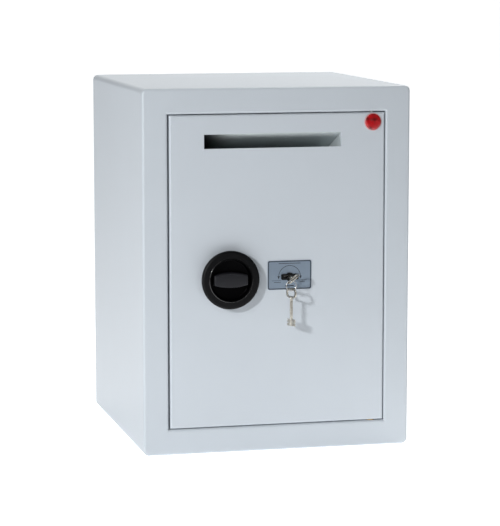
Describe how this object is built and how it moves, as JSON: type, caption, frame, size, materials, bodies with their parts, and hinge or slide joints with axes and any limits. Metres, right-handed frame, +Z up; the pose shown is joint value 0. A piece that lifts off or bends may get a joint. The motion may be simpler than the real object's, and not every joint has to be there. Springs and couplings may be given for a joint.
{
  "type": "book drop box",
  "caption": "Free-standing steel drop box with a hinged door, sloping deposit chute, turning knob, sliding bolts and a key lock.",
  "frame": {"origin": "centre of the base's underside", "axes": "+Z up, -Y out of the door, +X to the right seen from the front"},
  "size_m": [0.45, 0.4871, 0.6],
  "materials": {
    "casing_paint": "satin powder coat",
    "door_paint": "satin powder coat",
    "zinc_steel": "zinc plated",
    "bright_steel": "ground",
    "hard_steel": "dark, as rolled",
    "bronze": "turned",
    "black_plastic": "satin black",
    "grip_plastic": "fine matt grain",
    "label_plate": "anodised blue grey",
    "nickel_key": "nickel plated",
    "ring_wire": "nickel plated",
    "badge_red": "gloss"
  },
  "bodies": {
    "casing": {"body_shell": "casing_paint", "back_panel": "casing_paint", "base_plate": "casing_paint", "stop_frame": "casing_paint", "keeper_bar": "casing_paint", "hinge_blocks": "casing_paint", "pivot_pins": "bright_steel", "thrust_washer": "bronze"},
    "door": {"door_pan": "door_paint", "door_bushes": "bronze", "hinge_dogs": "bright_steel", "door_rails": "door_paint", "boltwork_cover": "zinc_steel", "cover_screws": "bright_steel", "chute_roof": "door_paint", "chute_floor": "door_paint", "chute_cheeks": "door_paint", "hard_plate": "hard_steel", "bolt_guides": "zinc_steel", "arm_guide": "zinc_steel", "spindle_bush": "bronze", "knob_rosette": "black_plastic", "badge": "badge_red", "lock_case": "zinc_steel", "lock_cover": "zinc_steel", "lock_screws": "bright_steel", "lock_levers": "zinc_steel", "lock_label": "label_plate", "keyhole_bezel": "black_plastic"},
    "boltwork": {"locking_bolts": "bright_steel", "bolt_rivets": "bright_steel", "bolt_carrier": "zinc_steel"},
    "knob": {"knob_dish": "black_plastic", "knob_grip": "grip_plastic", "knob_spindle": "bright_steel", "pinion": "bright_steel", "retaining_ring": "bright_steel"},
    "lock_bolt": {"lock_bolt": "bright_steel"},
    "lock_key": {"key": "nickel_key", "curtain": "hard_steel"},
    "ring": {"key_ring": "ring_wire"},
    "spare": {"spare_key": "nickel_key"}
  },
  "joints": [
    {"name": "door_swing", "type": "hinge", "parent": "casing", "child": "door", "pos_m": [0.1615, -0.216, 0.3], "axis": [0, 0, 1], "range_deg": [0, 95]},
    {"name": "knob_turn", "type": "hinge", "parent": "door", "child": "knob", "pos_m": [-0.082, -0.225, 0.288], "axis": [0, 1, 0], "range_deg": [0, 90]},
    {"name": "bolt_slide", "type": "slide", "parent": "door", "child": "boltwork", "axis": [-1, 0, 0], "range_m": [0, 0.0202]},
    {"name": "key_turn", "type": "hinge", "parent": "door", "child": "lock_key", "pos_m": [0.02, -0.225, 0.2888], "axis": [0, -1, 0], "range_deg": [-40, 140]},
    {"name": "lock_bolt_slide", "type": "slide", "parent": "door", "child": "lock_bolt", "axis": [0, 0, -1], "range_m": [-0.0018, 0.00625]},
    {"name": "ring_swing", "type": "hinge", "parent": "lock_key", "child": "ring", "pos_m": [0.01648, -0.251, 0.28584], "axis": [-1, 0, 0], "range_deg": [-4, 60]},
    {"name": "spare_key_swing", "type": "hinge", "parent": "ring", "child": "spare", "pos_m": [0.01648, -0.251, 0.26884], "axis": [-1, 0, 0], "range_deg": [-4, 60]}
  ],
  "couplings": [
    {"joint": "bolt_slide", "follows": "knob_turn", "m_per_rad": 0.0128},
    {"joint": "lock_bolt_slide", "follows": "key_turn", "m_per_rad": 0.0025465}
  ]
}
